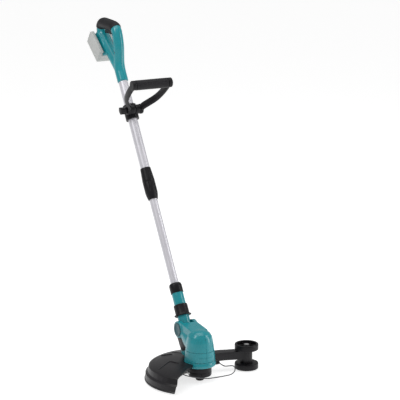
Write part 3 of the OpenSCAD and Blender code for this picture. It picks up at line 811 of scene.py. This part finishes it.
# Heights of the grooves round the front of the dome.
BAND_EDGES = (63.3, 92.3)
BAND_MIDDLE = 77.8
DOME = [(0, 151), (10, 150.5), (20, 148), (29, 142), (35, 133), (38, 120), (40, 106), (42, 90),
        (43.5, 75), (44.5, 60), (46.5, 55), (46.5, 49), (44, 46), (0, 46)]
DOME_IN = [(0, 148), (19, 145.5), (27.5, 140), (32.5, 131.5), (35.5, 119), (37.5, 105),
           (39.5, 89), (41, 75), (42, 60), (43.5, 54), (43.5, 50), (0, 50)]
FAIRING = [(0, 149), (-30, 152), (-85, 156.5), (-109.4, 130), (-103, 113), (-78, 84),
           (-66, 62), (0, 62)]
FAIRING_IN = [(0, 146), (-28, 149), (-63, 150), (-63, 111.5), (-97, 111.5), (-75, 84),
              (-63, 65), (0, 65)]


class TRIMMER_OT_motor(bpy.types.Operator):
    """Makes the motor housing's two shells"""
    bl_idname = "trimmer.motor"
    bl_label = "Motor housing"

    def execute(self, context):
        s = sizes()
        teal = finish("teal_shell")
        pivot = HEAD.inverted() @ PIVOT
        outer = Shape().turn(DOME, 96, closed=False)
        outer.plate(FAIRING, -25.5, 25.5).round(7.0, 4, 28, lambda edge: min(
            vert.co.y for vert in edge.verts) < -20 and abs(edge.verts[0].co.x) > 25)
        outer.rod(KNUCKLE_R, -29, 29, pivot.y, pivot.z, 96)
        spine = smooth_path([(0, -84, 130), (0, -62, 121), (0, -38, 111), (0, -12, 104),
                             (0, 0, 102)], 6)
        outer.sweep(spine, lambda t: 24 + 15.5 * t ** 0.9, lambda t: 24 + 17 * t,
                    Vector((1, 0, 0)), 48)
        outer.melt(s.skin / MM, s.passes)
        cavity = Shape().turn(DOME_IN, 72, closed=False)
        outer.carve(cavity)
        outer.carve(Shape().plate(FAIRING_IN, -23, 23))
        outer.carve(Shape().block((-17.4, -130, 114.4), (17.4, -66.5, 200)))
        outer.carve(Shape().rod(BUTTON_BORE_R, 20.5, 60, pivot.y, pivot.z)
                    .rod(BUTTON_BORE_R, -60, -26, pivot.y, pivot.z))
        vents = Shape()
        for k in range(4):
            vents.block((-40, -58 + 3 * k, 86 + 7 * k), (-18, -30 + 3 * k, 88.6 + 7 * k))
        outer.carve(vents)
        outer.carve(Shape().turn(SHAFT_HOLE, 48, closed=False))

        def front(co):
            return co.y > -34 and math.hypot(co.x, co.y) > 38

        for height in BAND_EDGES:
            outer.groove((0, 0, 1), height, 0.9, 1.3, front)
        outer.groove((0, 0, 1), BAND_MIDDLE, 0.5, 0.5,
                     lambda co: front(co) and abs(co.x) < 22)
        outer.groove((1, 0, 0), 0, s.seam / MM, s.seam_depth / MM,
                     lambda co: co.y > 0 and math.hypot(co.x, co.y) > 24 and co.z > 60)
        outer.placed("motor_housing", HEAD, teal, "motor_head",
                     ("motor_housing_right", "motor_housing_left"), crease=50)
        rounded_copy("side_panel", "motor_head", finish("black_plastic"), 0.5, 2, 40)
        return {"FINISHED"}


# ---- guard ----
# Each ridge's points, which lie on the guard's top, and half its width.
RIDGES = [
    ([(143, 6, 46), (128, -4, 49.6), (112, -15, 51.8), (94, -27, 54), (79, -34, 56.3),
      (72, -20, 57.4), (66, -4, 58.2)], 3.2),
    ([(70, -112, 50.6), (58, -108, 52.6), (46, -104, 53.8), (38, -100, 54.8)], 2.0),
    ([(30, -132, 48.8), (22, -116, 52.4), (16, -100, 54.8), (12, -84, 56.6)], 2.0),
]


class TRIMMER_OT_guard(bpy.types.Operator):
    """Makes the guard, its ridges and the edging arm"""
    bl_idname = "trimmer.guard"
    bl_label = "Guard"

    def execute(self, context):
        black = finish("guard_black")
        rounded_copy("guard", "motor_head", black, 0.8, 3, 24)
        ridges = Shape()
        for points, thick in RIDGES:
            path = smooth_path(points, 6)
            ridges.sweep(path, lambda t: thick * min(1, 0.35 + 6 * min(t, 1 - t)), 3.0,
                         Vector((0, 0, 1)), 16)
        ridges.placed("guard_ridges", HEAD, black, "motor_head", slot="guard_black")
        rounded_copy("wheel_arm", "motor_head", black, 2.2, 4, 40)
        rounded_copy("wire_bosses", "motor_head", black, 0.8, 2, 40)
        return {"FINISHED"}


WIRE_R = 1.5
WIRE_Z = 45
WIRE = [(57.5, -12), (57.5, 0), (57.5, 20), (57.5, 38), (61, 44), (72, 46.5), (79.5, 49),
        (81, 54), (77, 70), (61, 97), (39, 116), (18, 119.5), (0, 120)]


class TRIMMER_OT_wire(bpy.types.Operator):
    """Makes the plant guard's wire"""
    bl_idname = "trimmer.wire"
    bl_label = "Wire guard"

    def execute(self, context):
        half = [(x, y, WIRE_Z) for x, y in WIRE]
        path = smooth_path(half + [(-x, y, z) for x, y, z in reversed(half[:-1])], 5)
        wire = Shape().sweep(path, WIRE_R, WIRE_R, Vector((0, 0, 1)), 16)
        wire.placed("wire_guard", HEAD, finish("dark_wire"), "flower_guard", ("flower_wire",),
                    crease=60)
        return {"FINISHED"}


# ---- wheels ----
SPOKES = 6
RIBS = 36


def wheel(name, node, body, upside_down):
    """One spoked wheel with a ribbed rim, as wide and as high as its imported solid."""
    low, high = (Vector(corner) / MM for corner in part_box(node))
    middle = (low + high) / 2
    h = high.z - low.z
    shape = Shape().turn([
        (5.06, 0), (33, 0), (34.2, 0.6), (35, 2.6), (35, h - 2.6), (34.2, h - 0.6),
        (33, h), (29, h), (28.2, h - 0.8), (27.4, 4), (10.6, 4), (9.6, h - 5), (8.8, h - 4),
        (5.06, h - 4)], 120)
    holes = Shape()
    for k in range(SPOKES):
        angle = math.radians(360 / SPOKES * k)
        bmesh.ops.create_cone(holes.bm, cap_ends=True, segments=32, radius1=4.6, radius2=4.6,
                              depth=14, matrix=shift(18.5 * math.cos(angle),
                                                     18.5 * math.sin(angle), 2))
    shape.carve(holes)
    for k in range(SPOKES):
        spoke = Matrix.Rotation(math.radians(360 / SPOKES * (k + 0.5)), 4, "Z")
        shape.block((9.5, -1.1, 3.5), (28, 1.1, h - 4.5), spoke)
    for k in range(RIBS):
        shape.block((34.2, -1.0, 3.5), (35.0, 1.0, h - 3.5),
                    Matrix.Rotation(math.radians(360 / RIBS * k), 4, "Z"))
    if upside_down:
        shape.bm.transform(Matrix.Rotation(math.pi, 4, "X") @ shift(z=-h))
    shape.placed(name, HEAD @ shift(middle.x, middle.y, low.z), finish(SLOTS[node]), body,
                 (node,), crease=30)


class TRIMMER_OT_wheels(bpy.types.Operator):
    """Makes the two edging wheels"""
    bl_idname = "trimmer.wheels"
    bl_label = "Edging wheels"

    def execute(self, context):
        wheel("upper_wheel_spoked", "upper_wheel", "upper_wheel", False)
        wheel("lower_wheel_spoked", "lower_wheel", "lower_wheel", True)
        return {"FINISHED"}


# ---- cutting head ----
LINE_R = 1.0
LINE = [(31, 0, 26), (40, 0, 26), (70, -3, 25.8), (105, -10, 25.4), (146, -21, 25)]


class TRIMMER_OT_cutting_head(bpy.types.Operator):
    """Makes the spool cover, the bump knob and the line"""
    bl_idname = "trimmer.cutting_head"
    bl_label = "Cutting head"

    def execute(self, context):
        black = finish("black_plastic")
        rounded_copy("drive_cap", "rotor", black, 0.5, 2, 30)
        rounded_copy("spool_cover", "rotor", black, 0.5, 2, 30)
        rounded_copy("bump_knob", "line_feed", black, 0.6, 3, 30)
        pressed_spring("bump_spring", "rotor", 2)
        line = Shape().sweep(smooth_path(LINE, 6), LINE_R, LINE_R, Vector((0, 0, 1)), 12)
        line.placed("line_end", HEAD, finish("nylon"), "rotor", ("cutting_line",), crease=60)
        return {"FINISHED"}


class TRIMMER_OT_packed_nodes(bpy.types.Operator):
    """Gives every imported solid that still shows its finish"""
    bl_idname = "trimmer.packed_nodes"
    bl_label = "Packed solids"

    def execute(self, context):
        for name, obj in NODES.items():
            if not obj.hide_render:
                paint = finish(SLOTS[name])
                if not obj.material_slots:
                    obj.data.materials.append(paint)
                for slot in obj.material_slots:
                    slot.material = paint
        return {"FINISHED"}


MAKERS = (
    TRIMMER_OT_stage, TRIMMER_OT_handle, TRIMMER_OT_trigger, TRIMMER_OT_battery,
    TRIMMER_OT_shaft, TRIMMER_OT_clamp, TRIMMER_OT_front_handle, TRIMMER_OT_swivel,
    TRIMMER_OT_motor, TRIMMER_OT_guard, TRIMMER_OT_wire, TRIMMER_OT_wheels,
    TRIMMER_OT_cutting_head, TRIMMER_OT_packed_nodes,
)


class TRIMMER_PT_panel(bpy.types.Panel):
    """Lists the operators that build the trimmer"""
    bl_label = "String trimmer"
    bl_idname = "TRIMMER_PT_panel"
    bl_space_type = "VIEW_3D"
    bl_region_type = "UI"
    bl_category = "Trimmer"

    def draw(self, context):
        for maker in MAKERS:
            self.layout.operator(maker.bl_idname)


CLASSES = (TrimmerSizes, TrimmerColours, *MAKERS, TRIMMER_PT_panel)


def register():
    for cls in CLASSES:
        bpy.utils.register_class(cls)
    bpy.types.Scene.trimmer_sizes = PointerProperty(type=TrimmerSizes)
    bpy.types.Scene.trimmer_colours = PointerProperty(type=TrimmerColours)


def unregister():
    del bpy.types.Scene.trimmer_colours
    del bpy.types.Scene.trimmer_sizes
    for cls in reversed(CLASSES):
        bpy.utils.unregister_class(cls)


def main():
    register()
    for maker in MAKERS:
        group, name = maker.bl_idname.split(".")
        getattr(getattr(bpy.ops, group), name)()


if __name__ == "__main__":
    main()
